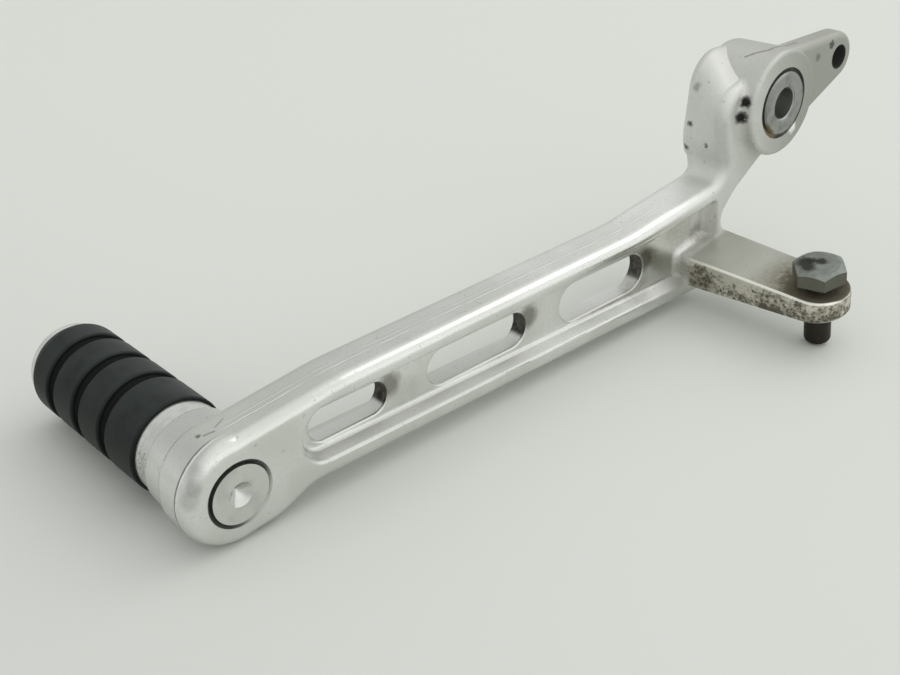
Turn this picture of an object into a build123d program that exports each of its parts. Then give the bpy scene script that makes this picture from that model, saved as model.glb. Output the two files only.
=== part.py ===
from build123d import *
from math import acos, atan2, cos, hypot, radians, sin, tan
import os

# Rear brake pedal of a motorbike, in millimetres.
# The origin lies on the pivot axis in the forging's parting plane.
# +X runs to the rear, +Y outboard along the toe peg, +Z up with the beam level.

# Layout: toe hub and push-rod eye as seen from the pivot
toe_reach = 163.5
toe_drop = 35.9
eye_reach = 24.6
eye_rise = 6.3

# Beam of the arm: a forged bar with a pocket on each side and three slots
arm_thickness = 12.0
arm_edge_radius = 2.6
web_thickness = 4.3
web_inboard_y = -2.6
beam_front_reach = 25.5
beam_top_rise = 14.0
beam_bottom_drop = 7.2
beam_top_slope = 0.65
beam_bottom_slope = 1.0
upper_rib = 3.7
lower_rib = 4.4
pocket_draft = 22.0
pocket_floor_radius = 1.2
pocket_rim_radius = 0.8
slot_upper_margin = 3.2
slot_lower_margin = 2.6
pocket_lead = 3.8
first_slot_reach = 18.6
first_slot_length = 19.9
slot_bridge = 11.3
last_slot_reach = 43.7
slot_rim_radius = 0.6

# Toe hub
hub_radius = 11.7
hub_parting_y = 1.9
hub_parting_step = 0.3
hub_outboard_y = 10.5
hub_outboard_radius = 10.5
hub_edge_radius = 3.0
spigot_radius = 6.25
spigot_recess_radius = 7.1
spigot_recess_depth = 0.9

# Pivot boss, bush, sleeve and seals
boss_radius = 13.5
boss_proud = 3.1
boss_draft = 2.4
boss_outboard_edge_radius = 2.0
neck_proud = 2.3
neck_flat_z = -12.5
neck_run_out_z = -18.0
bush_wall = 1.0
bush_length = 13.8
sleeve_radius = 8.0
sleeve_bore_radius = 4.0
sleeve_length = 19.0
sleeve_edge = 0.4
running_clearance = 0.03
seal_recess = 0.4
seal_clearance = 0.05

# Push-rod lever
lever_inboard_y = -8.4
lever_thickness = 6.3
lever_tip_radius = 6.3
lever_under_angle = 24.0
lever_root_radius = 8.0
lever_edge_radius = 1.8
eye_radius = 3.0

# Stop tab and its adjusting bolt
tab_tilt = 10.0
tab_x = -23.1
tab_z = -31.8
tab_bolt_y = -38.5
tab_tip_radius = 7.3
tab_toe_side = 8.0
tab_rear_side = 8.2
tab_root_thickness = 8.6
tab_tip_thickness = 5.4
tab_root_radius = 2.2
tab_edge_radius = 0.8
bolt_radius = 3.15
bolt_hole_clearance = 0.05
bolt_across_flats = 11.1
bolt_head_height = 4.0
bolt_head_gap = 2.6
bolt_length = 18.0
bolt_tip_radius = 1.3
bolt_top_radius = 4.7
bolt_head_chamfer = 30.0
bolt_turn = -16.0

# Toe peg and its rubber
collar_radius = 9.8
collar_end_y = 15.4
core_radius = 6.25
rubber_radius = 10.5
rubber_end_y = 57.8
rubber_lip = 0.6
rubber_end_radius = 2.6
groove_count = 3
groove_width = 2.6
groove_depth = 1.3
groove_edge_radius = 0.6
first_groove_y = 27.3
groove_pitch = 10.6
flange_radius = 9.4
flange_thickness = 1.9
flange_edge_radius = 0.9
spigot_proud = 0.2
centre_hole_radius = 2.65
centre_hole_depth = 2.5

# Sizes that follow from those above
half_arm = arm_thickness / 2
web_outboard_y = web_inboard_y + web_thickness
hub_x = -toe_reach
hub_z = -toe_drop
beam_front_x = hub_x + beam_front_reach
beam_top_z = hub_z + beam_top_rise
beam_bottom_z = hub_z - beam_bottom_drop
first_slot_x = hub_x + first_slot_reach
boss_half_length = half_arm + boss_proud
boss_edge_radius = 0.34 * boss_proud
boss_foot_radius = 0.62 * boss_proud
neck_outboard_y = half_arm + neck_proud
bush_outer_radius = sleeve_radius + running_clearance + bush_wall
bush_inner_radius = sleeve_radius + running_clearance
seal_thickness = boss_half_length - seal_recess - bush_length / 2 - seal_clearance
tab_plane = Plane(
    origin=(tab_x, 0, tab_z),
    x_dir=(cos(radians(tab_tilt)), 0, sin(radians(tab_tilt))),
    z_dir=(-sin(radians(tab_tilt)), 0, cos(radians(tab_tilt))),
)


def top_z(x):
    """Height of the beam's top at x."""
    return beam_top_z + tan(radians(beam_top_slope)) * (x - beam_front_x)


def bottom_z(x):
    """Height of the beam's underside at x."""
    return beam_bottom_z - tan(radians(beam_bottom_slope)) * (x - beam_front_x)


def tangent_turn(across, along, radius):
    """Angle at which a line from a point beside a circle touches it."""
    return atan2(along, across) - acos(radius / hypot(across, along))


# Side outline of the bar, from over the hub along the top to the neck and back along the bottom.
# Each corner has its place and its radius; the neck grows with the boss.
bar_hub_radius = 0.966 * hub_radius
rise_x = -3.7 * boss_radius
foot_x = hub_x + 1.5 * hub_radius
outline_corners = [
    (hub_x, hub_z + bar_hub_radius, 0.6 * hub_radius),
    (beam_front_x, beam_top_z, 5.1 * hub_radius),
    (rise_x, top_z(rise_x), 5.2 * boss_radius),
    (-1.215 * boss_radius, -1.215 * boss_radius, 0.3 * boss_radius),
    (-1.6 * boss_radius, 0.311 * boss_radius, 0.52 * boss_radius),
    (-0.444 * boss_radius, 0.667 * boss_radius, 0.04 * boss_radius),
    (0.222 * boss_radius, -0.889 * boss_radius, 0.04 * boss_radius),
    (-0.859 * boss_radius, -1.585 * boss_radius, 0.9 * boss_radius),
    (tab_x + 0.805 * tab_rear_side, tab_z + 0.61 * tab_rear_side, 0.37 * tab_rear_side),
    (tab_x + 1.061 * tab_rear_side, tab_z + 0.146 * tab_rear_side, 0.49 * tab_rear_side),
    (tab_x + 1.244 * tab_rear_side, tab_z - 0.884 * tab_root_thickness, 0.61 * tab_rear_side),
    (tab_x, bottom_z(tab_x), 0.77 * hub_radius),
    (foot_x, bottom_z(foot_x), 0.77 * hub_radius),
    (hub_x + 0.77 * hub_radius, hub_z - 0.897 * hub_radius, 0.68 * hub_radius),
    (hub_x, hub_z - bar_hub_radius, 0.6 * hub_radius),
    (hub_x - bar_hub_radius, hub_z - bar_hub_radius, 0.92 * hub_radius),
    (hub_x - bar_hub_radius, hub_z + bar_hub_radius, 0.92 * hub_radius),
]
outline = [(x, z) for x, z, radius in outline_corners]
outline_radii = [radius for x, z, radius in outline_corners]

# Side outline of the pockets: round at the toe end, running up to the stop tab and over it
pocket_front_x = first_slot_x - pocket_lead
pocket_height = top_z(pocket_front_x) - upper_rib - bottom_z(pocket_front_x) - lower_rib
pocket_round = 0.485 * pocket_height
pocket_corners = [
    (pocket_front_x, top_z(pocket_front_x) - upper_rib, pocket_round),
    (rise_x, top_z(rise_x) - upper_rib, 3.0 * boss_radius),
    (tab_x + 0.427 * tab_rear_side, -1.533 * boss_radius, 0.13 * boss_radius),
    (tab_x + 0.56 * tab_rear_side, tab_z - 0.35 * tab_root_thickness, 0.2 * tab_root_thickness),
    (tab_x - 0.5 * tab_toe_side, tab_z - 0.45 * tab_root_thickness, 0.1 * tab_root_thickness),
    (tab_x - 0.5 * tab_toe_side, bottom_z(tab_x) + lower_rib, 0.2 * tab_root_thickness),
    (pocket_front_x, bottom_z(pocket_front_x) + lower_rib, pocket_round),
]
outboard_corners = [
    (pocket_front_x, top_z(pocket_front_x) - upper_rib, pocket_round),
    (rise_x, top_z(rise_x) - upper_rib, 3.0 * boss_radius),
    (-1.52 * boss_radius, -1.54 * boss_radius, 0.19 * boss_radius),
    (tab_x, bottom_z(tab_x) + 1.6 * lower_rib, 0.9 * lower_rib),
    (tab_x - 0.9 * tab_toe_side, bottom_z(tab_x) + lower_rib, 1.4 * lower_rib),
    (pocket_front_x, bottom_z(pocket_front_x) + lower_rib, pocket_round),
]

with BuildPart() as bar:
    with BuildSketch(Plane.XZ):
        with BuildLine():
            FilletPolyline(*outline, radius=outline_radii, close=True)
        make_face()
    extrude(amount=half_arm, both=True)
    fillet(bar.faces().filter_by(Axis.Y).edges(), arm_edge_radius)

# From the bar's inboard edge the neck swells outboard into the barrel of the boss
shoulder_inner = [
    (-1.249, -1.037, 0.2),
    (-1.3389, -0.73, 0.4),
    (-1.594, 0.308, 0.52),
    (-0.25, 0.715, 0.3),
    (0.2, -0.8, 0.3),
]
shoulder_outer = [
    (-1.235, -1.096, 0.2),
    (-1.358, -0.66, 0.8),
    (-1.178, 1.045, 0.74),
    (0.1, 0.94, 0.3),
    (0.2, -0.8, 0.3),
]
shoulder_y = -half_arm + 1.15 * arm_edge_radius
shoulder_end_y = 1.025 * neck_outboard_y
wall_steps = [(shoulder_y, 0), (shoulder_end_y - arm_edge_radius, 0)]
rim_steps = [
    (shoulder_end_y - arm_edge_radius * (1 - cos(turn)), arm_edge_radius * (1 - sin(turn)))
    for turn in (radians(90), radians(60), radians(30), 0)
]
with BuildPart() as shoulder:
    for steps in (wall_steps, rim_steps):
        for section_y, inset in steps:
            share = (section_y - shoulder_y) / (shoulder_end_y - shoulder_y)
            corners = [
                [boss_radius * ((1 - share) * near + share * far) for near, far in zip(inner, outer)]
                for inner, outer in zip(shoulder_inner, shoulder_outer)
            ]
            with BuildSketch(Plane.XZ.offset(-section_y)):
                with BuildLine():
                    FilletPolyline(
                        *[(x, z) for x, z, radius in corners],
                        radius=[radius for x, z, radius in corners],
                        close=True,
                    )
                make_face()
                if inset > 0.01:
                    offset(amount=-inset, mode=Mode.REPLACE)
        loft(ruled=steps is wall_steps)

# The bar's own corner is cut back to that swelling
with BuildPart() as corner_cut:
    with BuildSketch(Plane.XZ.offset(-shoulder_y)):
        with Locations((-1.2 * boss_radius, 0.3 * boss_radius)):
            Rectangle(1.6 * boss_radius, 2 * boss_radius)
    extrude(amount=-2 * arm_thickness)
    add(shoulder.part, mode=Mode.SUBTRACT)

# Pivot boss through the neck, with a hollow all round where they meet
with BuildPart() as barrel:
    with BuildSketch(Plane.XZ.offset(boss_half_length)):
        Circle(boss_radius)
    extrude(amount=-2 * boss_half_length, taper=boss_draft)
    fillet(barrel.faces().sort_by(Axis.Y)[0].edges(), boss_edge_radius)
    fillet(barrel.faces().sort_by(Axis.Y)[-1].edges(), boss_outboard_edge_radius)

with BuildPart() as bar_boss:
    add(bar.part)
    add(corner_cut.part, mode=Mode.SUBTRACT)
    add(shoulder.part)
    add(barrel.part)
    around = bar_boss.edges().filter_by(GeomType.CIRCLE).filter_by(lambda e: e.radius > 0.9 * boss_radius)
    fillet(around.filter_by_position(Axis.Y, -1.02 * half_arm, -0.98 * half_arm), boss_foot_radius)

# The neck is thicker on the outboard side and slopes down to the bar
neck_corners = [
    (-2.52, -2.0, 0.26),
    (-2.52, -1.404, 0.26),
    (-1.211, -1.2185, 0.3),
    (-1.335, -0.55, 0.4),
    (-0.607, 0.6, 0.3),
    (0.215, -0.885, 0.3),
    (-0.863, -1.578, 0.52),
    (-1.252, -2.0, 0.26),
]
neck_slope = neck_proud / (neck_flat_z - neck_run_out_z)
with BuildPart() as neck:
    with BuildSketch(Plane.XZ):
        with BuildLine():
            FilletPolyline(
                *[(x * boss_radius, z * boss_radius) for x, z, radius in neck_corners],
                radius=[radius * boss_radius for x, z, radius in neck_corners],
                close=True,
            )
        make_face()
    extrude(amount=-neck_outboard_y)
    with BuildSketch(Plane.YZ):
        Polygon(
            (neck_outboard_y, neck_flat_z),
            (neck_outboard_y - neck_slope * toe_drop, neck_flat_z - toe_drop),
            (2 * neck_outboard_y, neck_flat_z - toe_drop),
            (2 * neck_outboard_y, neck_flat_z),
            align=None,
        )
    extrude(amount=2 * toe_drop, both=True, mode=Mode.SUBTRACT)
    fillet(neck.edges().filter_by(Axis.X).sort_by(Axis.Y)[-1], 1.1 * boss_radius)
    neck_rims = neck.edges().filter_by(Axis.X, reverse=True).filter_by(Axis.Y, reverse=True)
    fillet(neck_rims.filter_by(lambda e: e.center().Y > 0.1 * half_arm), arm_edge_radius)

with BuildPart() as pocket_inboard:
    with BuildSketch(Plane.XZ.offset(half_arm)):
        with BuildLine():
            FilletPolyline(
                *[(x, z) for x, z, radius in pocket_corners],
                radius=[radius for x, z, radius in pocket_corners],
                close=True,
            )
        make_face()
    extrude(amount=-half_arm - web_inboard_y, taper=pocket_draft)
    fillet(pocket_inboard.faces().sort_by(Axis.Y)[-1].edges(), pocket_floor_radius)

with BuildPart() as pocket_outboard:
    with BuildSketch(Plane.XZ.offset(-half_arm)):
        with BuildLine():
            FilletPolyline(
                *[(x, z) for x, z, radius in outboard_corners],
                radius=[radius for x, z, radius in outboard_corners],
                close=True,
            )
        make_face()
    extrude(amount=half_arm - web_outboard_y, taper=pocket_draft * 0.7)
    fillet(pocket_outboard.faces().sort_by(Axis.Y)[0].edges(), pocket_floor_radius)

# The three slots keep a margin to the pocket's upper and lower edge and share the length
long_slot = (-last_slot_reach - first_slot_x - first_slot_length - 2 * slot_bridge) / 2
slot_starts = [
    first_slot_x,
    first_slot_x + first_slot_length + slot_bridge,
    -last_slot_reach - long_slot,
]
slot_lengths = [first_slot_length, long_slot, long_slot]
slots = []
for start, length in zip(slot_starts, slot_lengths):
    middle = start + length / 2
    top = top_z(middle) - upper_rib - slot_upper_margin
    bottom = bottom_z(middle) + lower_rib + slot_lower_margin
    slots.append((middle, (top + bottom) / 2, length, top - bottom))

with BuildPart() as beam:
    add(bar_boss.part)
    add(neck.part)
    add(pocket_inboard.part, mode=Mode.SUBTRACT)
    add(pocket_outboard.part, mode=Mode.SUBTRACT)
    for side_y in (-half_arm, half_arm):
        side = beam.faces().filter_by(Axis.Y).filter_by_position(Axis.Y, side_y - 0.01, side_y + 0.01)
        fillet(side.sort_by(SortBy.AREA)[-1].inner_wires()[0].edges(), pocket_rim_radius)
    with BuildSketch(Plane.XZ):
        for middle, height, length, width in slots:
            with Locations((middle, height)):
                SlotOverall(length, width)
    extrude(amount=arm_thickness, both=True, mode=Mode.SUBTRACT)
    floors = beam.faces().filter_by(Axis.Y).filter_by(lambda f: abs(f.center().Y) < 0.5 * half_arm)
    fillet([e for f in floors for w in f.inner_wires() for e in w.edges()], slot_rim_radius)

# Toe hub: a drafted round boss with its inboard face flush with the bar
hub_axis = Axis((hub_x, 0, hub_z), (0, 1, 0))
hub_plane = Plane(origin=(hub_x, 0, hub_z), x_dir=(1, 0, 0), z_dir=(0, 0, 1))
with BuildPart() as hub:
    with BuildSketch(hub_plane):
        Polygon(
            (0, -half_arm),
            (0.983 * hub_radius, -half_arm),
            (hub_radius, -hub_parting_y),
            (hub_radius - hub_parting_step, -hub_parting_y),
            (hub_outboard_radius, hub_outboard_y),
            (0, hub_outboard_y),
            align=None,
        )
    revolve(axis=hub_axis)
    fillet(hub.faces().sort_by(Axis.Y)[0].edges(), hub_edge_radius)
    fillet(hub.faces().sort_by(Axis.Y)[-1].edges(), 0.4)

# Push-rod lever: its top edge leaves the boss level, its underside runs into it with a hollow
lever_angle = atan2(eye_rise, eye_reach)
lever_length = hypot(eye_reach, eye_rise)
root_radius = 0.956 * boss_radius
top_normal = lever_angle + acos((root_radius - lever_tip_radius) / lever_length)
under_normal = radians(lever_under_angle - 90.0)
under_run = 0.8 * lever_length
lever_points = [
    (0, 0),
    (root_radius * cos(top_normal), root_radius * sin(top_normal)),
    (eye_reach + lever_tip_radius * cos(top_normal), eye_rise + lever_tip_radius * sin(top_normal)),
    (eye_reach, eye_rise),
    (eye_reach + lever_tip_radius * cos(under_normal), eye_rise + lever_tip_radius * sin(under_normal)),
    (
        eye_reach + lever_tip_radius * cos(under_normal) - under_run * cos(radians(lever_under_angle)),
        eye_rise + lever_tip_radius * sin(under_normal) - under_run * sin(radians(lever_under_angle)),
    ),
]
with BuildPart() as lever:
    with BuildSketch(Plane.XZ.offset(-lever_inboard_y)):
        Circle(root_radius)
        with Locations((eye_reach, eye_rise)):
            Circle(lever_tip_radius)
        Polygon(*lever_points, align=None)
        fillet(vertices().sort_by_distance((boss_radius, -boss_radius / 2, 0))[0], lever_root_radius)
    extrude(amount=-lever_thickness)
    fillet(lever.faces().filter_by(Axis.Y).edges(), lever_edge_radius)

# Stop tab: tapers in thickness towards its round tip
tab_side_plane = Plane(origin=tab_plane.origin, x_dir=(0, 1, 0), z_dir=tab_plane.x_dir)
tab_end_plane = Plane(origin=tab_plane.origin, x_dir=tab_plane.x_dir, z_dir=(0, -1, 0))
tab_tip_y = tab_bolt_y - tab_tip_radius
toe_turn = tangent_turn(tab_toe_side, -half_arm - tab_bolt_y, tab_tip_radius)
rear_turn = tangent_turn(tab_rear_side, -half_arm - tab_bolt_y, tab_tip_radius)
toe_touch = (-tab_tip_radius * cos(toe_turn), tab_bolt_y + tab_tip_radius * sin(toe_turn))
rear_touch = (tab_tip_radius * cos(rear_turn), tab_bolt_y + tab_tip_radius * sin(rear_turn))
tab_start_y = web_inboard_y + 0.12 * web_thickness
toe_spread = (tab_toe_side + toe_touch[0]) / (-half_arm - toe_touch[1])
rear_spread = (tab_rear_side - rear_touch[0]) / (-half_arm - rear_touch[1])
tab_taper = (tab_root_thickness - tab_tip_thickness) / (-half_arm - tab_tip_y)
with BuildPart() as tab:
    with BuildSketch(tab_plane):
        with BuildLine():
            Polyline(
                toe_touch,
                (toe_touch[0] - toe_spread * (tab_start_y - toe_touch[1]), tab_start_y),
                (rear_touch[0] + rear_spread * (tab_start_y - rear_touch[1]), tab_start_y),
                rear_touch,
            )
            ThreePointArc(rear_touch, (0, tab_tip_y), toe_touch)
        make_face()
    extrude(amount=-2 * tab_root_thickness)
    with BuildSketch(tab_side_plane.offset(-2 * tab_tip_radius)):
        Polygon(
            (0, -tab_root_thickness - tab_taper * half_arm),
            (2 * tab_tip_y, -tab_tip_thickness + tab_taper * -tab_tip_y),
            (2 * tab_tip_y, -3 * tab_root_thickness),
            (0, -3 * tab_root_thickness),
            align=None,
        )
    extrude(amount=4 * tab_tip_radius, mode=Mode.SUBTRACT)
    tab_rims = tab.edges().filter_by(lambda e: e.center().Y < -1.1 * half_arm)
    fillet(tab_rims.filter_by(lambda e: abs(e.tangent_at(0.5).dot(tab_plane.z_dir)) < 0.5), tab_edge_radius)

# Hollow where the tab stands on the pocket's floor; its rear end lies inside the neck
root_reach = 1.17 * tab_root_radius
with BuildPart() as tab_root:
    add(tab.part)
    with BuildSketch(tab_end_plane.offset(-web_inboard_y)):
        with Locations(((tab_rear_side - tab_toe_side) / 2, -tab_root_thickness / 2)):
            RectangleRounded(
                tab_toe_side + tab_rear_side + 2 * root_reach,
                tab_root_thickness + 2 * root_reach,
                root_reach + 0.8 * tab_edge_radius,
            )
    extrude(amount=-0.35 * web_thickness)
    root_face = tab_root.faces().filter_by(Axis.Y).sort_by(Axis.Y)[0]
    fillet(root_face.inner_wires()[0].edges(), tab_root_radius)
    with BuildSketch(tab_end_plane):
        with Locations((1.62 * tab_rear_side, 0)):
            Rectangle(2 * tab_rear_side, 4 * tab_root_thickness)
    extrude(amount=-2 * tab_bolt_y, mode=Mode.SUBTRACT)

with BuildPart() as arm:
    add(beam.part)
    add(hub.part)
    add(lever.part)
    add(tab.part)
    add(tab_root.part)
    with BuildSketch(Plane.XZ):
        with Locations((hub_x, hub_z)):
            Circle(spigot_radius)
    extrude(amount=2 * hub_outboard_y, both=True, mode=Mode.SUBTRACT)
    with BuildSketch(hub_plane):
        Polygon(
            (0, -half_arm),
            (spigot_recess_radius, -half_arm),
            (spigot_radius, -half_arm + spigot_recess_depth),
            (0, -half_arm + spigot_recess_depth),
            align=None,
        )
    revolve(axis=hub_axis, mode=Mode.SUBTRACT)
    with BuildSketch(Plane.XZ):
        Circle(bush_outer_radius)
    extrude(amount=2 * boss_half_length, both=True, mode=Mode.SUBTRACT)
    with BuildSketch(Plane.XZ):
        with Locations((eye_reach, eye_rise)):
            Circle(eye_radius)
    extrude(amount=2 * boss_half_length, both=True, mode=Mode.SUBTRACT)
    with BuildSketch(tab_plane):
        with Locations((0, tab_bolt_y)):
            Circle(bolt_radius + bolt_hole_clearance)
    extrude(amount=2 * tab_root_thickness, both=True, mode=Mode.SUBTRACT)

# Toe peg: one turned spindle, riveted over in the hub's recess
with BuildPart() as peg:
    with BuildSketch(hub_plane):
        Polygon(
            (0, -half_arm - spigot_proud),
            (spigot_radius, -half_arm - spigot_proud),
            (spigot_radius, hub_outboard_y),
            (collar_radius, hub_outboard_y),
            (collar_radius, collar_end_y),
            (core_radius, collar_end_y),
            (core_radius, rubber_end_y),
            (flange_radius, rubber_end_y),
            (flange_radius, rubber_end_y + flange_thickness),
            (0, rubber_end_y + flange_thickness),
            align=None,
        )
        Polygon(
            (0, -half_arm - spigot_proud),
            (centre_hole_radius, -half_arm - spigot_proud),
            (0, -half_arm - spigot_proud + centre_hole_depth),
            align=None,
            mode=Mode.SUBTRACT,
        )
    revolve(axis=hub_axis)
    fillet(peg.faces().sort_by(Axis.Y)[-1].edges(), flange_edge_radius)

# Toe rubber: a sleeve with round ends and three grooves
groove_ys = [first_groove_y + i * groove_pitch for i in range(groove_count)]
with BuildPart() as rubber:
    with BuildSketch(hub_plane):
        with Locations((core_radius, collar_end_y)):
            Rectangle(rubber_radius - core_radius, rubber_end_y - collar_end_y, align=(Align.MIN, Align.MIN))
        fillet(vertices().sort_by(Axis.X)[-2:].sort_by(Axis.Y)[-1], rubber_end_radius)
        fillet(vertices().sort_by(Axis.Y)[:2].sort_by(Axis.X)[-1], rubber_lip)
        with Locations(*[(rubber_radius, y) for y in groove_ys]):
            Rectangle(2 * groove_depth, groove_width, mode=Mode.SUBTRACT)
        edges_y = [y + side * groove_width / 2 for y in groove_ys for side in (-1, 1)]
        fillet([v for v in vertices() if min(abs(v.Y - y) for y in edges_y) < 0.01], groove_edge_radius)
    revolve(axis=hub_axis)

# Pivot bush, pressed into the boss
with BuildPart() as bush:
    with BuildSketch(Plane.XZ):
        Circle(bush_outer_radius)
        Circle(bush_inner_radius, mode=Mode.SUBTRACT)
    extrude(amount=bush_length / 2, both=True)

# Distance sleeve that turns in the bush
with BuildPart() as sleeve:
    with BuildSketch(Plane.XZ):
        Circle(sleeve_radius)
        Circle(sleeve_bore_radius, mode=Mode.SUBTRACT)
    extrude(amount=sleeve_length / 2, both=True)
    chamfer(sleeve.faces().filter_by(Axis.Y).edges(), sleeve_edge)

# Dust seals in the ring-shaped gap at both ends of the bush
seal_outer_y = boss_half_length - seal_recess
with BuildPart() as seal_inboard:
    with BuildSketch(Plane.XZ.offset(seal_outer_y)):
        Circle(bush_outer_radius)
        Circle(bush_inner_radius, mode=Mode.SUBTRACT)
    extrude(amount=-seal_thickness)

with BuildPart() as seal_outboard:
    with BuildSketch(Plane.XZ.offset(-seal_outer_y)):
        Circle(bush_outer_radius)
        Circle(bush_inner_radius, mode=Mode.SUBTRACT)
    extrude(amount=seal_thickness)

# Stop bolt: hexagon head with a turned chamfer, shank with a chamfered end
bolt_plane = Plane(
    origin=tab_plane.from_local_coords((0, tab_bolt_y, bolt_head_gap)),
    x_dir=tab_plane.x_dir,
    z_dir=tab_plane.z_dir,
)
hex_corner = bolt_across_flats / 2 / cos(radians(30))
with BuildPart() as bolt:
    with BuildSketch(bolt_plane):
        RegularPolygon(hex_corner, 6, rotation=bolt_turn)
    extrude(amount=bolt_head_height)
    with BuildSketch(bolt_plane):
        Circle(bolt_top_radius + bolt_head_height / tan(radians(bolt_head_chamfer)))
    extrude(amount=bolt_head_height, taper=90.0 - bolt_head_chamfer, mode=Mode.INTERSECT)
    with BuildSketch(bolt_plane):
        Circle(bolt_radius)
    extrude(amount=-bolt_length)
    fillet(bolt.faces().sort_by(Axis.Z)[0].edges(), bolt_tip_radius)

os.makedirs("parts", exist_ok=True)
arm.part.label = "pedal_arm"
peg.part.label = "toe_peg"
rubber.part.label = "toe_rubber"
bush.part.label = "pivot_bush"
sleeve.part.label = "pivot_sleeve"
seal_inboard.part.label = "dust_seal_inboard"
seal_outboard.part.label = "dust_seal_outboard"
bolt.part.label = "stop_bolt"
export_step(arm.part, "parts/pedal_arm.step")
export_step(peg.part, "parts/toe_peg.step")
export_step(rubber.part, "parts/toe_rubber.step")
export_step(bush.part, "parts/pivot_bush.step")
export_step(sleeve.part, "parts/pivot_sleeve.step")
export_step(seal_inboard.part, "parts/dust_seal_inboard.step")
export_step(seal_outboard.part, "parts/dust_seal_outboard.step")
export_step(bolt.part, "parts/stop_bolt.step")
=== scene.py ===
# %% [markdown]
# # Rear brake pedal of a motorbike
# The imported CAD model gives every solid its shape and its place, in metres.
# This lesson dresses those solids: a forged aluminium arm, a turned peg with its rubber,
# a steel sleeve in the pivot and a worn stop bolt. The frame is loaded first and never moved.

import bpy
from mathutils import Matrix, Vector


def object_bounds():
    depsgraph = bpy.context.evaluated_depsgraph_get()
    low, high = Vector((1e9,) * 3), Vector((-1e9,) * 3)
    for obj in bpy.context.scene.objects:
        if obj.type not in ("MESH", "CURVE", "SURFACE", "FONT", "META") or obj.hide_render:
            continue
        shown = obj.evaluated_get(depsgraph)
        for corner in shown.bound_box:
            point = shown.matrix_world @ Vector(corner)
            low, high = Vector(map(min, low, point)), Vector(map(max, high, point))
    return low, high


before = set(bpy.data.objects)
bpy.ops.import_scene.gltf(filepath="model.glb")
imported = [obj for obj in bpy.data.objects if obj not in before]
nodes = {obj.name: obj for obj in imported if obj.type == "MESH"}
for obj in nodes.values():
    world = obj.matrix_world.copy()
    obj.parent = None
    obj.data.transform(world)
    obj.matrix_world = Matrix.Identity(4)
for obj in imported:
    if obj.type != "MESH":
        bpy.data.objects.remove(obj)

cad_low, cad_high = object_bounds()
mm = 0.001
print("solids:", ", ".join(sorted(nodes)))
print("size in mm:", [round((b - a) / mm, 1) for a, b in zip(cad_low, cad_high)])

# %% [markdown]
# ## Camera
# The pedal was photographed from its toe end, a little above, with a normal lens.
# A camera can be aimed by eye or with a constraint. Here its three axes are known from fitting
# the picture to the solids, so they go straight into its matrix. The optical axis lies a little
# above the middle of the picture, so the lens is shifted.

# %% Camera at the photograph's angle
camera_place = Vector((-259.1, -168.9, 104.3)) * mm
camera_right = Vector((0.7334, -0.6797, -0.0133))
camera_up = Vector((0.3316, 0.3406, 0.8798))
camera_back = camera_right.cross(camera_up)
camera_data = bpy.data.cameras.new("camera")
camera_data.sensor_width = 36.0
camera_data.lens = 49.5
camera_data.shift_y = -0.0428
camera_data.clip_start = 0.01
camera_data.clip_end = 20.0
camera = bpy.data.objects.new("camera", camera_data)
camera.matrix_world = Matrix.Translation(camera_place) @ Matrix(
    (camera_right, camera_up, camera_back)
).transposed().to_4x4()
bpy.context.scene.collection.objects.link(camera)
bpy.context.scene.camera = camera
print("camera at", [round(v / mm) for v in camera_place], "mm, lens", camera_data.lens)

# %% [markdown]
# ## Colours and nodes
# Colours are written as the sRGB hex values that a picture shows, and shaders want them linear.
# Every material below is a small tree of nodes, so one helper adds a node, sets it and links it.

# %% Helpers for materials
def linear(hex_colour):
    """The linear RGBA of an sRGB hex colour."""
    parts = [int(hex_colour[i:i + 2], 16) / 255 for i in (1, 3, 5)]
    return [c / 12.92 if c <= 0.04045 else ((c + 0.055) / 1.055) ** 2.4 for c in parts] + [1.0]


def node(tree, kind, inputs=None, **settings):
    """Adds a shader node with its settings, values and links, and gives its first output in use."""
    made = tree.nodes.new("ShaderNode" + kind)
    for name, value in settings.items():
        setattr(made, name, value)
    for socket, value in (inputs or {}).items():
        if isinstance(value, bpy.types.NodeSocket):
            tree.links.new(value, made.inputs[socket])
        else:
            made.inputs[socket].default_value = value
    return next(out for out in made.outputs if out.enabled)


print("the arm's grey in linear light:", [round(c, 3) for c in linear("#d9dad6")[:3]])

# %% [markdown]
# ## Floor and light
# The pedal lies on a pale board, in soft light that comes from the right, in front and above. A
# disc lamp on that side gives the bright bands on the rounded ribs. A world that is brightest on
# the same side and dimmer behind fills the shadows. Such a world could be a picture of a studio;
# a ramp over the angle to the bright side does as well.

# %% Floor
floor_size = 20.0
# The board lies a hair below the pedal, so that no two faces share a plane.
floor_gap = 0.05 * mm
# Painted shade: the board's colour is a little darker on the left, standing in for the light
# falling off away from the lamp.
dark_x, light_x = -0.45, -0.05
bpy.ops.object.select_all(action="DESELECT")
bpy.ops.mesh.primitive_plane_add(size=floor_size, location=(0, 0, cad_low.z - floor_gap))
floor = bpy.context.object
floor.name = "floor"
board = bpy.data.materials.new("painted_board")
board.use_nodes = True
paint = board.node_tree.nodes["Principled BSDF"]
board_point = node(board.node_tree, "TexCoord").node.outputs["Object"]
board_x = node(board.node_tree, "SeparateXYZ", {0: board_point}).node.outputs["X"]
painted_falloff = node(board.node_tree, "MapRange", {"Value": board_x, "From Min": dark_x, "From Max": light_x},
            interpolation_type="SMOOTHSTEP")
painted_falloff_tone = node(board.node_tree, "Mix", {0: painted_falloff, 6: linear("#c2c5c1"), 7: linear("#d8dad5")},
            data_type="RGBA")
board.node_tree.links.new(painted_falloff_tone, paint.inputs["Base Color"])
# Matt paint takes a soft shadow and mirrors hardly anything.
paint.inputs["Roughness"].default_value = 0.7
paint.inputs["Specular IOR Level"].default_value = 0.2
floor.data.materials.append(board)
print("floor at", round(floor.location.z / mm, 2), "mm")

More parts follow.
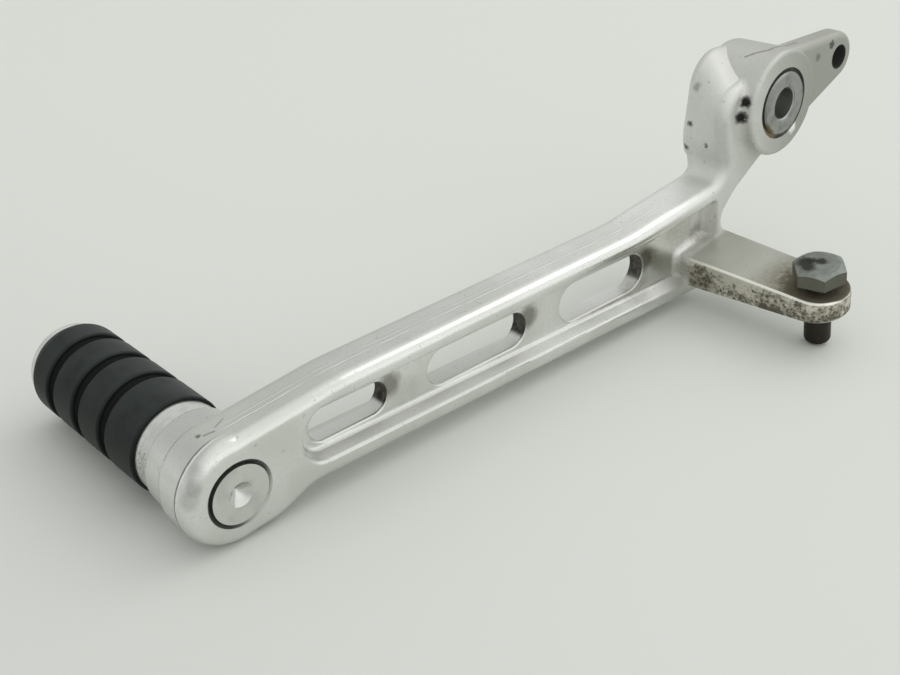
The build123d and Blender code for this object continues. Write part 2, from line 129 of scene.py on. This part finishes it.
# %% Lamp and world
lamp_side = Vector((0.55, -0.15, 0.8)).normalized()
lamp_distance = 0.8
bpy.ops.object.light_add(type="AREA", location=lamp_side * lamp_distance)
softbox = bpy.context.object
softbox.name = "softbox"
softbox.rotation_euler = lamp_side.to_track_quat("Z", "Y").to_euler()
softbox.data.shape = "DISK"
softbox.data.size = 0.5
softbox.data.energy = 0.55

world = bpy.data.worlds.new("studio")
world.use_nodes = True
bpy.context.scene.world = world
tree = world.node_tree
sky = tree.nodes["Background"]
sky.inputs["Color"].default_value = linear("#fdfefc")
bright_side = Vector((0.4, -0.5, 0.77)).normalized()
# The strength grows with the cosine of the angle to the bright side, between these two.
dim, bright = 0.72, 1.16
dim_cosine, bright_cosine = 0.0, 0.95
direction = node(tree, "TexCoord").node.outputs["Generated"]
towards = node(tree, "VectorMath", {0: direction, 1: bright_side}, operation="DOT_PRODUCT")
glow = node(tree, "MapRange", {"Value": towards.node.outputs["Value"], "From Min": dim_cosine,
                               "From Max": bright_cosine, "To Min": dim, "To Max": bright},
            interpolation_type="SMOOTHSTEP")
tree.links.new(glow, sky.inputs["Strength"])
bpy.context.scene.view_settings.view_transform = "Standard"
print("lamp of", softbox.data.energy, "W beside a world of", dim, "to", bright)

# %% [markdown]
# ## Places on the pedal
# Dirt and wear sit at places, not everywhere. Each material starts from the point being shaded,
# in millimetres, and from the same point bent a little by noise, so that no stain has a clean edge.
# A mask is a product of soft steps and strengths, a spot the distance to a place, a stroke the
# distance to a short line, and a coat lays a colour where its mask is 1. Painting a mask by hand
# would do too, but it would need an image. Since points are in millimetres, a pattern of scale 2
# has features of about half a millimetre.

# %% Materials, masks and coats
def start(name, wobble):
    """A new material: its tree, its shader, the point in mm, the bent point and the normal."""
    material = bpy.data.materials.new(name)
    material.use_nodes = True
    tree = material.node_tree
    coordinates = node(tree, "TexCoord").node.outputs
    point = node(tree, "VectorMath", {0: coordinates["Object"], "Scale": 1 / mm}, operation="SCALE")
    # Noise of about 1.1 mm moves the point by half the wobble at most.
    bend = node(tree, "TexNoise", {"Vector": point, "Scale": 0.9, "Detail": 3.0}).node.outputs["Color"]
    bend = node(tree, "VectorMath", {0: bend, 1: (0.5, 0.5, 0.5)}, operation="SUBTRACT")
    bend = node(tree, "VectorMath", {0: bend, "Scale": wobble}, operation="SCALE")
    bent = node(tree, "VectorMath", {0: point, 1: bend}, operation="ADD")
    return material, tree, tree.nodes["Principled BSDF"], point, bent, coordinates["Normal"]


def mask(tree, *parts):
    """A product of parts: a strength, a mask, or a value with where it counts 0 and where 1."""
    product = 1.0
    for part in parts:
        if isinstance(part, tuple):
            value, zero, one = part
            part = node(tree, "MapRange", {"Value": value, "From Min": zero, "From Max": one},
                        interpolation_type="SMOOTHSTEP")
        product = node(tree, "Math", {0: product, 1: part}, operation="MULTIPLY")
    return product


def coat(tree, skin, hex_colour, *parts):
    """The skin with another colour laid on where the mask of the parts is 1."""
    layer = {0: mask(tree, *parts), 6: skin, 7: linear(hex_colour)}
    return node(tree, "Mix", layer, data_type="RGBA")


print("masks and coats are ready")

# %% Spots, strokes and distances
def spot(tree, bent, place, radius):
    """1 around a place, falling to 0 at the radius."""
    away = node(tree, "VectorMath", {0: bent, 1: place}, operation="DISTANCE").node.outputs["Value"]
    full = 0.35 * radius
    return mask(tree, (away, radius, full))


def stroke(tree, bent, begin, end, width):
    """1 along a short straight line, falling to 0 at the width."""
    along = Vector(end) - Vector(begin)
    offset = node(tree, "VectorMath", {0: bent, 1: begin}, operation="SUBTRACT")
    share = node(tree, "VectorMath", {0: offset, 1: along / along.length_squared}, operation="DOT_PRODUCT")
    share = node(tree, "Clamp", {"Value": share.node.outputs["Value"]})
    nearest = node(tree, "VectorMath", {0: along, "Scale": share}, operation="SCALE")
    away = node(tree, "VectorMath", {0: offset, 1: nearest}, operation="DISTANCE").node.outputs["Value"]
    full = 0.3 * width
    return mask(tree, (away, width, full))


def around(tree, point, centre):
    """The offset from an axis that runs along Y through the centre, and its length."""
    offset = node(tree, "VectorMath", {0: point, 1: centre}, operation="SUBTRACT")
    offset = node(tree, "VectorMath", {0: offset, 1: (1.0, 0.0, 1.0)}, operation="MULTIPLY")
    return offset, node(tree, "VectorMath", {0: offset}, operation="LENGTH").node.outputs["Value"]


def off_level(tree, value, level):
    """How far a value lies from a level, on either side."""
    gap = node(tree, "Math", {0: value, 1: level}, operation="SUBTRACT")
    return node(tree, "Math", {0: gap}, operation="ABSOLUTE")


print("places: spot, stroke, around an axis and off a level")

# %% [markdown]
# ## Forged aluminium
# The arm is a drop forging: struck between two dies, trimmed along the parting line, then tumbled
# to an even satin. The eye sees a light grey with crisp bright bands on the round edges. Slow
# clouds and a fine grain keep the grey from looking like paint. The pivot end is matt, and painted
# shade darkens it, for the darker reflection there, and the upper faces towards the toe as well.

# %% Arm: satin ground
forged, tree, metal, point, bent, normal = start("forged_aluminium", 1.6)
axes = node(tree, "SeparateXYZ", {0: point}).node.outputs
facing = node(tree, "SeparateXYZ", {0: normal}).node.outputs
# Clouds of some 15 mm: uneven tumbling and handling.
clouds = node(tree, "TexNoise", {"Vector": point, "Scale": 0.07, "Detail": 3.0})
skin = coat(tree, linear("#d9dad6"), "#e3e4e1", (clouds, 0.35, 0.65))
# Grain of about 0.5 mm, coarser than the real tumbling so that it shows in the picture.
grain = node(tree, "TexNoise", {"Vector": point, "Scale": 2.0, "Detail": 2.0})
skin = coat(tree, skin, "#c0c1bb", 0.35, (grain, 0.5, 0.75))
# Nicks about 0.5 mm wide, some 3 mm apart.
nicks = node(tree, "TexVoronoi", {"Vector": bent, "Scale": 0.33})
skin = coat(tree, skin, "#85867d", 0.35, (nicks, 0.12, 0.05))
# Painted shade: darker towards the pivot, for the darker reflection there, then darker on the
# upper faces towards the toe.
skin = coat(tree, skin, "#8f9188", 0.72, (axes["X"], -24.0, 14.0))
skin = coat(tree, skin, "#a6a7a1", 0.4, (axes["X"], -60.0, -120.0), (facing["Z"], 0.4, 0.9))
print("arm: satin grey, duller towards the pivot")

# %% Arm: satin and matt places
rough = node(tree, "MapRange", {"Value": clouds, "From Min": 0.3, "From Max": 0.7,
                                "To Min": 0.21, "To Max": 0.29})
matt_end = mask(tree, 0.34, (axes["X"], -46.0, -14.0))
# The lower channel of the pocket was never polished, so it mirrors nothing sharply.
matt_channel = mask(tree, 0.25, (axes["Z"], -35.5, -37.0), (facing["Z"], 0.3, 0.7))
for matt in (matt_end, matt_channel):
    rough = node(tree, "Math", {0: rough, 1: matt}, operation="ADD")
print("arm: matt at the pivot and in the lower channel")

# %% [markdown]
# ### Parting line
# Where the two dies met, the flash was trimmed off. Along the top of the beam that left two fine
# broken edges about 1.3 mm apart, and around the toe hub a single dark step with a bright rim.
# A line is drawn where the point's Y is near the parting plane, on faces that turn away from the
# pedal's sides. On the beam each edge is a painted highlight with painted shadow beside it, and
# the hub's step is a painted shadow line with a painted highlight on its rim. Cutting a groove
# would do too, but at this size lines of colour are enough.

# %% Arm: parting line
across = node(tree, "Math", {0: facing["Y"]}, operation="ABSOLUTE")
edge_face = mask(tree, (across, 0.35, 0.15))
# The line wanders by half a millimetre in ripples of about 3 mm, and breaks off every 5 mm or so.
ripple = node(tree, "TexNoise", {"Vector": point, "Scale": 0.35, "Detail": 4.0})
parting_y = node(tree, "Math", {0: ripple, 1: 0.5, 2: axes["Y"]}, operation="MULTIPLY_ADD")
breaks = node(tree, "TexNoise", {"Vector": point, "Scale": 0.2, "Detail": 5.0})
on_beam = mask(tree, edge_face, (breaks, 0.36, 0.58), (axes["Z"], -25.0, -24.0),
               (axes["X"], -166.0, -160.0), (axes["X"], -28.0, -40.0))
# Each edge on the beam: a painted highlight at its core, painted shadow on both sides.
for line_y, highlight_strength in ((-0.45, 0.75), (0.85, 0.4)):
    away = off_level(tree, parting_y, line_y)
    skin = coat(tree, skin, "#85867d", 0.5, on_beam, (away, 0.42, 0.24), (away, 0.16, 0.26))
    skin = coat(tree, skin, "#f6f6f2", highlight_strength, on_beam, (away, 0.24, 0.1))
on_hub = mask(tree, edge_face, (axes["X"], -163.0, -169.0))
# The hub's step: a painted shadow line, and a painted highlight on its rim.
for line_y, colour, width in ((-1.75, "#4a4a44", 0.34), (-2.3, "#f4f4f0", 0.3)):
    away = off_level(tree, parting_y, line_y)
    skin = coat(tree, skin, colour, 0.75, on_hub, (away, width, 0.1))
print("arm: parting line in two edges, one dark step around the hub")

# %% [markdown]
# ### Grime and pits
# Road dirt packs in around the bolt, where a cloth doesn't reach. The rear ends of the slots are
# darker, near black in flecks. Painted shadow fills the gap around the riveted spigot and the
# push-rod eye. Grit and salt have pitted the edge of the stop tab that looks forward. The pits are
# the middles of small random cells, kept to patches.

# %% Arm: dark slot ends and grime in the pocket
slot_ends = (-125.0, -84.3, -43.7)
slot_middle_z = -30.8
web_y = -2.6
# Flecks of about 1.3 mm.
fleck = node(tree, "TexNoise", {"Vector": point, "Scale": 0.75, "Detail": 4.0, "Roughness": 0.65})
slot_end_darkness = node(tree, "MapRange", {"Value": fleck, "From Min": 0.25, "From Max": 0.55, "To Min": 0.75})
# The end walls of the slots are darkened to near black in flecks, with a brownish smudge at each rim.
for slot_end in slot_ends:
    skin = coat(tree, skin, "#1a1712", slot_end_darkness, (axes["X"], slot_end - 5.0, slot_end - 1.5),
                (axes["X"], slot_end + 1.5, slot_end + 0.5), (axes["Z"], -38.5, -34.5),
                (axes["Z"], -25.5, -27.0), (facing["Z"], 0.8, 0.5), (across, 0.8, 0.55))
    slot_rim = (slot_end + 0.5, web_y, slot_middle_z)
    skin = coat(tree, skin, "#4c4739", 0.65, spot(tree, bent, slot_rim, 4.2))
# Place, radius and strength of each smudge.
smudges = [
    ((-46.0, web_y, -38.0), 6.0, 0.3),
    ((-30.0, web_y, -27.5), 8.0, 0.3),
    ((-120.0, web_y, -34.0), 5.0, 0.15),
    ((-30.4, -5.0, -36.8), 3.6, 0.6),
    ((-23.0, -2.7, -30.0), 4.0, 0.5),
]
for place, radius, strength in smudges:
    skin = coat(tree, skin, "#787263", strength, spot(tree, bent, place, radius), (fleck, 0.1, 0.6))
print("arm: grime in", len(slot_ends), "slot ends,", len(smudges), "smudges in the pocket")

# %% Arm: painted shadow rings around the spigot and in the push-rod eye
hub_centre = (-163.5, 0.0, -35.9)
eye_centre = (24.6, 0.0, 6.3)
# Centre and radius of each painted shadow ring, and the side where its shadow is thinner; the eye
# has no such side.
painted_shadow_rings = [
    (hub_centre, 7.25, (0.85, 0.0, -0.5)),
    (eye_centre, 3.25, (0.0, 0.0, 0.0)),
]
for centre, radius, thin_shadow_side in painted_shadow_rings:
    offset, away = around(tree, point, centre)
    toward_thin_shadow = node(tree, "VectorMath", {0: offset, 1: thin_shadow_side}, operation="DOT_PRODUCT")
    left = node(tree, "MapRange", {"Value": toward_thin_shadow.node.outputs["Value"], "From Min": 1.0, "From Max": 6.0,
                                   "To Min": 0.95, "To Max": 0.3})
    skin = coat(tree, skin, "#171612", left, (away, radius, radius - 0.15))
print("arm:", len(painted_shadow_rings), "dark rings")

# %% Arm: pits on the tab
on_tab = mask(tree, (axes["Y"], -6.0, -7.5), (axes["Z"], -24.0, -26.0))
toe_face = mask(tree, on_tab, (facing["X"], -0.45, -0.8))
steep = node(tree, "Math", {0: facing["Z"]}, operation="ABSOLUTE")
round_end = mask(tree, on_tab, (axes["Y"], -36.0, -40.0), (steep, 0.6, 0.35))
tab_edge = node(tree, "Math", {0: toe_face, 1: round_end}, operation="MAXIMUM")
skin = coat(tree, skin, "#d4cfc0", 0.75, tab_edge)
# Patches of 2 to 4 mm, closer together towards the lower edge, the bolt and one place at the root.
patches = node(tree, "TexNoise", {"Vector": point, "Scale": 0.45, "Detail": 6.0, "Roughness": 0.8})
lower_edge = mask(tree, 0.11, (axes["Z"], -33.5, -38.5))
near_bolt = mask(tree, 0.12, (axes["Y"], -18.0, -40.0))
at_root = mask(tree, 0.17, spot(tree, bent, (-30.3, -10.5, -36.3), 4.5))
for denser in (lower_edge, near_bolt, at_root):
    patches = node(tree, "Math", {0: patches, 1: denser}, operation="ADD")
# Pits about 0.9 mm apart, soft at their rims.
cells = node(tree, "TexVoronoi", {"Vector": bent, "Scale": 1.1})
pits = mask(tree, tab_edge, (patches, 0.5, 0.66), (cells, 0.8, 0.2))
skin = coat(tree, skin, "#6b6350", 0.65, tab_edge, (patches, 0.52, 0.76))
skin = coat(tree, skin, "#403829", 0.8, pits)
print("arm: pitted edge of the tab")

# %% Arm: dirt around the bolt
bolt_place = (-23.1, -38.5, -31.8)
smear = stroke(tree, bent, (-29.5, -28.0, -38.8), (-29.3, -33.0, -38.8), 1.5)
skin = coat(tree, skin, "#46412f", 0.7, smear)
tab_top = mask(tree, on_tab, (facing["Z"], 0.5, 0.9))
skin = coat(tree, skin, "#8a8873", 0.4, tab_top)
skin = coat(tree, skin, "#6b6147", 0.85, tab_top, spot(tree, bent, bolt_place, 18.0), (fleck, 0.0, 0.6))
skin = coat(tree, skin, "#352d1d", 0.85, tab_top, spot(tree, bent, bolt_place, 10.5))
# The upper edge of the tab is rubbed, and its colour is lifted to near white as a painted highlight along
# it.
rubbed = mask(tree, on_tab, (facing["X"], -0.25, -0.45), (facing["Z"], 0.2, 0.45))
skin = coat(tree, skin, "#f7f6ee", 0.85, rubbed)
print("arm: dirt around the bolt, rubbed tab edge")

# %% [markdown]
# ### Single marks
# A few marks are placed one by one: black specks on the boss wall, scuffs on the neck, smudges
# beside the push-rod eye, a painted highlight as a white glint at the seal's seat, scratches on
# the hub, and a painted dark reflection on the hub's rim.

# %% Arm: single marks
# Place, radius, colour and strength of each spot.
spots = [
    ((-13.3, -7.0, 3.0), 2.1, "#12120e", 1.0),
    ((-14.1, -6.6, -0.8), 2.3, "#12120e", 1.0),
    ((-17.4, 4.7, 5.1), 1.6, "#77766b", 0.5),
    ((-18.1, 5.4, -4.5), 1.1, "#47453d", 0.8),
    ((-17.7, 6.3, -10.9), 1.2, "#5d5b51", 0.8),
    ((-18.1, 0.0, -8.8), 0.8, "#5d5b51", 0.8),
    ((20.4, -8.4, 10.3), 1.5, "#42423a", 0.8),
    ((14.5, -8.4, 8.4), 1.5, "#74766d", 0.6),
    # A painted highlight: the white glint at the seal's seat.
    ((5.2, -9.0, -7.6), 2.2, "#ffffff", 0.9),
    ((-166.8, 1.2, -25.0), 0.8, "#5f5e55", 0.8),
]
# Begin, end, width, colour and strength of each stroke.
strokes = [
    ((-6.5, -0.9, 11.6), (-2.2, -4.8, 13.3), 0.55, "#73756c", 0.6),
    ((-2.2, -4.8, 13.3), (8.2, -5.4, 13.0), 0.55, "#73756c", 0.6),
    ((-166.0, 0.4, -24.8), (-164.0, 0.0, -24.6), 0.4, "#7a7a70", 0.6),
    ((-163.2, 1.0, -24.5), (-160.8, 2.0, -24.4), 0.35, "#8b8b82", 0.5),
    # A painted dark reflection: two wide soft strokes on the hub's rim.
    ((-171.3, -4.6, -27.8), (-172.7, -5.3, -30.5), 2.2, "#6f706a", 0.22),
    ((-172.7, -5.3, -30.5), (-173.8, -5.2, -33.0), 2.4, "#6f706a", 0.26),
]
# Gaps of about 1 mm make the spots ragged.
ragged = node(tree, "TexNoise", {"Vector": point, "Scale": 0.9, "Detail": 3.0})
for place, radius, colour, strength in spots:
    skin = coat(tree, skin, colour, strength, spot(tree, bent, place, radius), (ragged, 0.22, 0.38))
for begin, end, width, colour, strength in strokes:
    skin = coat(tree, skin, colour, strength, stroke(tree, point, begin, end, width))
tree.links.new(skin, metal.inputs["Base Color"])
print("arm:", len(spots), "spots and", len(strokes), "strokes")

# %% [markdown]
# ### Relief
# Dirt is rougher than the metal and isn't metal itself, so both follow how dark the skin is, and
# so the painted shade turns rough and unmetallic too. The bump gives the forged skin a slow swell
# and a fine tooth, and sinks the pits.

# %% Arm: roughness and relief
lightness = node(tree, "RGBToBW", {0: skin})
dirt_and_shade = mask(tree, 0.35, (lightness, 0.35, 0.1))
rough = node(tree, "Math", {0: rough, 1: dirt_and_shade}, operation="ADD")
tree.links.new(rough, metal.inputs["Roughness"])
tree.links.new(mask(tree, (lightness, 0.05, 0.22)), metal.inputs["Metallic"])
# Shares of the bump's height: a swell of about 4 mm, the grain, and the pits, which go down.
bump_height = 0.1 * mm
swell_share, grain_share, pit_share = 0.8, 0.16, -0.6
swell = node(tree, "TexNoise", {"Vector": point, "Scale": 0.25, "Detail": 2.0})
relief = node(tree, "Math", {0: swell, 1: swell_share}, operation="MULTIPLY")
relief = node(tree, "Math", {0: grain, 1: grain_share, 2: relief}, operation="MULTIPLY_ADD")
relief = node(tree, "Math", {0: pits, 1: pit_share, 2: relief}, operation="MULTIPLY_ADD")
bump = node(tree, "Bump", {"Height": relief, "Distance": bump_height, "Strength": 0.8})
tree.links.new(bump, metal.inputs["Normal"])
nodes["pedal_arm"].data.materials[0] = forged
print("arm: rougher where dirty, pits", round(-pit_share * bump_height / mm, 2), "mm deep")

# %% [markdown]
# ## Turned aluminium
# The toe peg is turned from bar and riveted into the hub. Turning leaves fine rings, which show
# as streaks along the light. The noise is read over radius and length alone, so it repeats around
# the peg's own axis. The riveted face at the hub was struck smooth, so it has no rings.

# %% Material of the peg
turned, tree, metal, point, bent, _ = start("turned_aluminium", 1.6)
metal.inputs["Metallic"].default_value = 1.0
_, radius = around(tree, point, hub_centre)
length = node(tree, "SeparateXYZ", {0: point}).node.outputs["Y"]
rings = node(tree, "CombineXYZ", {"X": radius, "Y": length})
# Rings about 0.4 mm apart, coarser than real turning marks so that they show.
rings = node(tree, "TexNoise", {"Vector": rings, "Scale": 2.5, "Detail": 2.0})
rings = mask(tree, (rings, 0.3, 0.7), (length, 0.0, 4.0))
skin = coat(tree, linear("#d4d6d2"), "#dee0dc", rings)
# Dull patches of about 3 mm, and dirt in specks of 0.5 mm on the collar beside the rubber.
dull = node(tree, "TexNoise", {"Vector": point, "Scale": 0.3, "Detail": 3.0})
skin = coat(tree, skin, "#acaea7", 0.3, (dull, 0.45, 0.65))
specks = node(tree, "TexNoise", {"Vector": point, "Scale": 2.0, "Detail": 4.0})
dirty_collar = spot(tree, bent, (-173.0, 12.4, -33.6), 4.5)
skin = coat(tree, skin, "#5f5b50", 0.55, dirty_collar, (specks, 0.48, 0.64))
tree.links.new(skin, metal.inputs["Base Color"])
rough = node(tree, "MapRange", {"Value": rings, "To Min": 0.24, "To Max": 0.31})
tree.links.new(rough, metal.inputs["Roughness"])
bump = node(tree, "Bump", {"Height": rings, "Distance": 0.002 * mm, "Strength": 0.5})
tree.links.new(bump, metal.inputs["Normal"])
nodes["toe_peg"].data.materials[0] = turned
print("peg: turned rings, dirt beside the rubber")

# %% [markdown]
# ## Moulded rubber
# The sleeve on the peg is black rubber with three grooves. It is satin from boots on its lands and
# dull in the grooves, a little grey with dust on top, and the mould left a fine seam along it. The
# grooves carry a touch of painted shade.

# %% Material of the rubber
rubber, tree, shader, point, _, normal = start("moulded_rubber", 1.0)
_, radius = around(tree, point, hub_centre)
up = node(tree, "SeparateXYZ", {0: normal}).node.outputs["Z"]
groove_radius, land_radius = 9.3, 10.3
on_land = mask(tree, (radius, groove_radius, land_radius))
# Patches of about 4 mm: dust that boots have half wiped off.
patchy = node(tree, "TexNoise", {"Vector": point, "Scale": 0.25, "Detail": 4.0})
skin = coat(tree, linear("#080c0b"), "#0f1514", (patchy, 0.35, 0.7))
skin = coat(tree, skin, "#262d2c", 0.65, on_land, (up, 0.1, 0.9), (patchy, 0.1, 0.6))
# Painted shade: the grooves are darker still.
skin = coat(tree, skin, "#060908", (radius, land_radius, groove_radius))
tree.links.new(skin, shader.inputs["Base Color"])
rough = node(tree, "MapRange", {"Value": on_land, "To Min": 0.75, "To Max": 0.48})
tree.links.new(rough, shader.inputs["Roughness"])
shader.inputs["Specular IOR Level"].default_value = 0.24
print("rubber: satin lands and dull grooves")

# %% Seam and skin of the rubber
seam_height = hub_centre[2] - 4.0
height = node(tree, "SeparateXYZ", {0: point}).node.outputs["Z"]
seam = mask(tree, (off_level(tree, height, seam_height), 0.35, 0.1))
# Skin of about 0.4 mm, coarser than that of the real mould so that it shows.
fine = node(tree, "TexNoise", {"Vector": point, "Scale": 2.5, "Detail": 2.0})
relief = node(tree, "Math", {0: fine, 1: 0.4, 2: seam}, operation="MULTIPLY_ADD")
bump = node(tree, "Bump", {"Height": relief, "Distance": 0.06 * mm, "Strength": 0.5})
tree.links.new(bump, shader.inputs["Normal"])
nodes["toe_rubber"].data.materials[0] = rubber
print("rubber: a seam at", round(seam_height, 1), "mm")

# %% [markdown]
# ## Pivot: sleeve, bush and seals
# The steel sleeve is clamped to the frame and the arm turns around it on a bronze bush. Two dust
# seals keep the grease in. The one in view is black above, worn grey below on the right, and some
# grease has crept out of it as a brown smear. Plain colours would do for such small pieces, but
# the rings and stains keep them from looking new.

# %% Material of the sleeve
# Zinc on turned steel: a cool mid grey, satin, with faint rings. The bore is painted a light grey,
# as painted light in it.
steel, tree, metal, point, bent, _ = start("sleeve_steel", 1.2)
metal.inputs["Metallic"].default_value = 1.0
pivot_centre = (0.0, 0.0, 0.0)
_, radius = around(tree, point, pivot_centre)
rings = node(tree, "CombineXYZ", {"X": radius})
# Rings about 0.4 mm apart, coarser than real turning marks so that they show; stains of 3 mm.
rings = node(tree, "TexNoise", {"Vector": rings, "Scale": 2.5, "Detail": 2.0})
stain = node(tree, "TexNoise", {"Vector": point, "Scale": 0.35, "Detail": 3.0})
skin = coat(tree, linear("#949693"), "#a2a4a1", (rings, 0.35, 0.65))
skin = coat(tree, skin, "#70726c", 0.5, (stain, 0.45, 0.7))
# Painted light: the bore is lifted to a light grey.
skin = coat(tree, skin, "#c2c4c0", 0.5, (radius, 4.3, 4.1))
skin = coat(tree, skin, "#6b5c41", 0.9, spot(tree, bent, (-5.6, -9.3, -5.8), 3.4), (radius, 6.9, 7.5))
tree.links.new(skin, metal.inputs["Base Color"])
rough = node(tree, "MapRange", {"Value": stain, "From Min": 0.3, "From Max": 0.7,
                                "To Min": 0.38, "To Max": 0.5})
tree.links.new(rough, metal.inputs["Roughness"])
nodes["pivot_sleeve"].data.materials[0] = steel
print("sleeve: zinc grey, turned face")

# %% Material of the bush
# Oiled bronze: a brown gold, darker in patches of about 1.7 mm where the oil has soaked in.
bronze, tree, metal, point, _, _ = start("bearing_bronze", 1.0)
metal.inputs["Metallic"].default_value = 1.0
metal.inputs["Roughness"].default_value = 0.45
oil = node(tree, "TexNoise", {"Vector": point, "Scale": 0.6, "Detail": 3.0})
skin = coat(tree, linear("#a07c45"), "#7a5b30", (oil, 0.4, 0.65))
tree.links.new(skin, metal.inputs["Base Color"])
nodes["pivot_bush"].data.materials[0] = bronze
print("bush: oiled bronze")

# %% Material of the seals
# Moulded seal rubber: almost black and half matt, with dust in patches of about 1.2 mm.
seal, tree, shader, point, bent, _ = start("seal_rubber", 1.4)
shader.inputs["Roughness"].default_value = 0.55
dust = node(tree, "TexNoise", {"Vector": point, "Scale": 0.8, "Detail": 3.0})
skin = coat(tree, linear("#12120f"), "#26251f", (dust, 0.45, 0.7))
# The worn grey side, then the smear of grease.
skin = coat(tree, skin, "#6f716b", 0.85, spot(tree, bent, (6.5, -8.7, -4.0), 9.0))
skin = coat(tree, skin, "#7d6a4b", 0.85, spot(tree, bent, (-4.6, -8.7, -7.2), 4.8))
tree.links.new(skin, shader.inputs["Base Color"])
for name in ("dust_seal_inboard", "dust_seal_outboard"):
    nodes[name].data.materials[0] = seal
print("seals: black, worn on one side")

# %% [markdown]
# ## Stop bolt
# The bolt's head bears against a lug on the frame, so its top carries a dark rubbed patch.
# The plating has gone grey, and the shank below the tab is darkened almost to black. The patch
# could be painted on an image; two strokes across the head are enough.

# %% Material of the bolt
# Worn zinc on steel: a dull mid grey, cloudy in patches of about 2 mm, darker on its sides.
plated, tree, metal, point, bent, normal = start("bolt_steel", 1.8)
metal.inputs["Metallic"].default_value = 1.0
height = node(tree, "SeparateXYZ", {0: point}).node.outputs["Z"]
up = node(tree, "SeparateXYZ", {0: normal}).node.outputs["Z"]
zinc = node(tree, "TexNoise", {"Vector": point, "Scale": 0.5, "Detail": 4.0})
skin = coat(tree, linear("#7c807b"), "#8d918c", (zinc, 0.35, 0.65))
skin = coat(tree, skin, "#5b584b", 0.7, (up, 0.6, 0.3))
# Begin, end and width of each stroke of the rubbed patch.
rubs = [
    ((-25.6, -35.2, -25.5), (-27.0, -37.4, -25.8), 2.4),
    ((-24.3, -36.4, -25.3), (-23.2, -38.6, -25.1), 1.8),
]
for begin, end, width in rubs:
    skin = coat(tree, skin, "#2b2c24", 0.9, stroke(tree, bent, begin, end, width))
# The shank below the tab, under it, is darkened almost to black.
skin = coat(tree, skin, "#332e29", 0.9, (height, -31.0, -35.0))
tree.links.new(skin, metal.inputs["Base Color"])
rough = node(tree, "MapRange", {"Value": zinc, "From Min": 0.3, "From Max": 0.7,
                                "To Min": 0.42, "To Max": 0.55})
tree.links.new(rough, metal.inputs["Roughness"])
nodes["stop_bolt"].data.materials[0] = plated
print("bolt: grey plating, rubbed head, oily shank")
